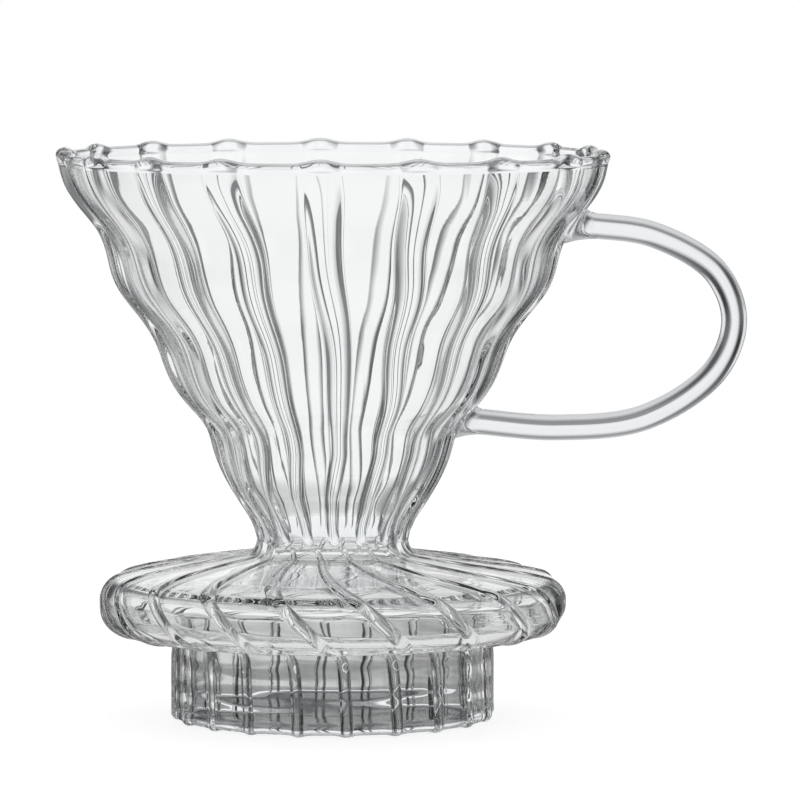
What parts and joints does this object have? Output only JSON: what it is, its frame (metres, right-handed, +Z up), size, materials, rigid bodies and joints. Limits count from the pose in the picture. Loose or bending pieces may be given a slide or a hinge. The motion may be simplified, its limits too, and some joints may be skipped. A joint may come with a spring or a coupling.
{
  "type": "pour over dripper",
  "caption": "Clear fluted glass pour over coffee dripper with a conical filter cup, hollow saucer base, ring collar and bent rod handle.",
  "frame": {"origin": "centre of the foot, on the axis, in the plane that the foot stands on", "axes": "+Z up along the axis of the cone, +X from the axis towards the handle"},
  "size_m": [0.1439, 0.1159, 0.1191],
  "materials": {
    "blown_glass": "clear, mould-blown, fluted, with soft waves in its surface",
    "rolled_glass": "clear, flame-rolled and fused, smooth",
    "rod_glass": "clear, solid drawn rod, flame-bent, smooth"
  },
  "bodies": {
    "root": {"rim_bead": "rolled_glass", "cone_wall": "blown_glass", "outlet_neck": "rolled_glass", "saucer_top": "blown_glass", "saucer_underside": "blown_glass", "collar": "blown_glass", "foot_bead": "rolled_glass", "handle_rod": "rod_glass", "handle_weld_upper": "rod_glass", "handle_weld_lower": "rod_glass"}
  },
  "joints": []
}
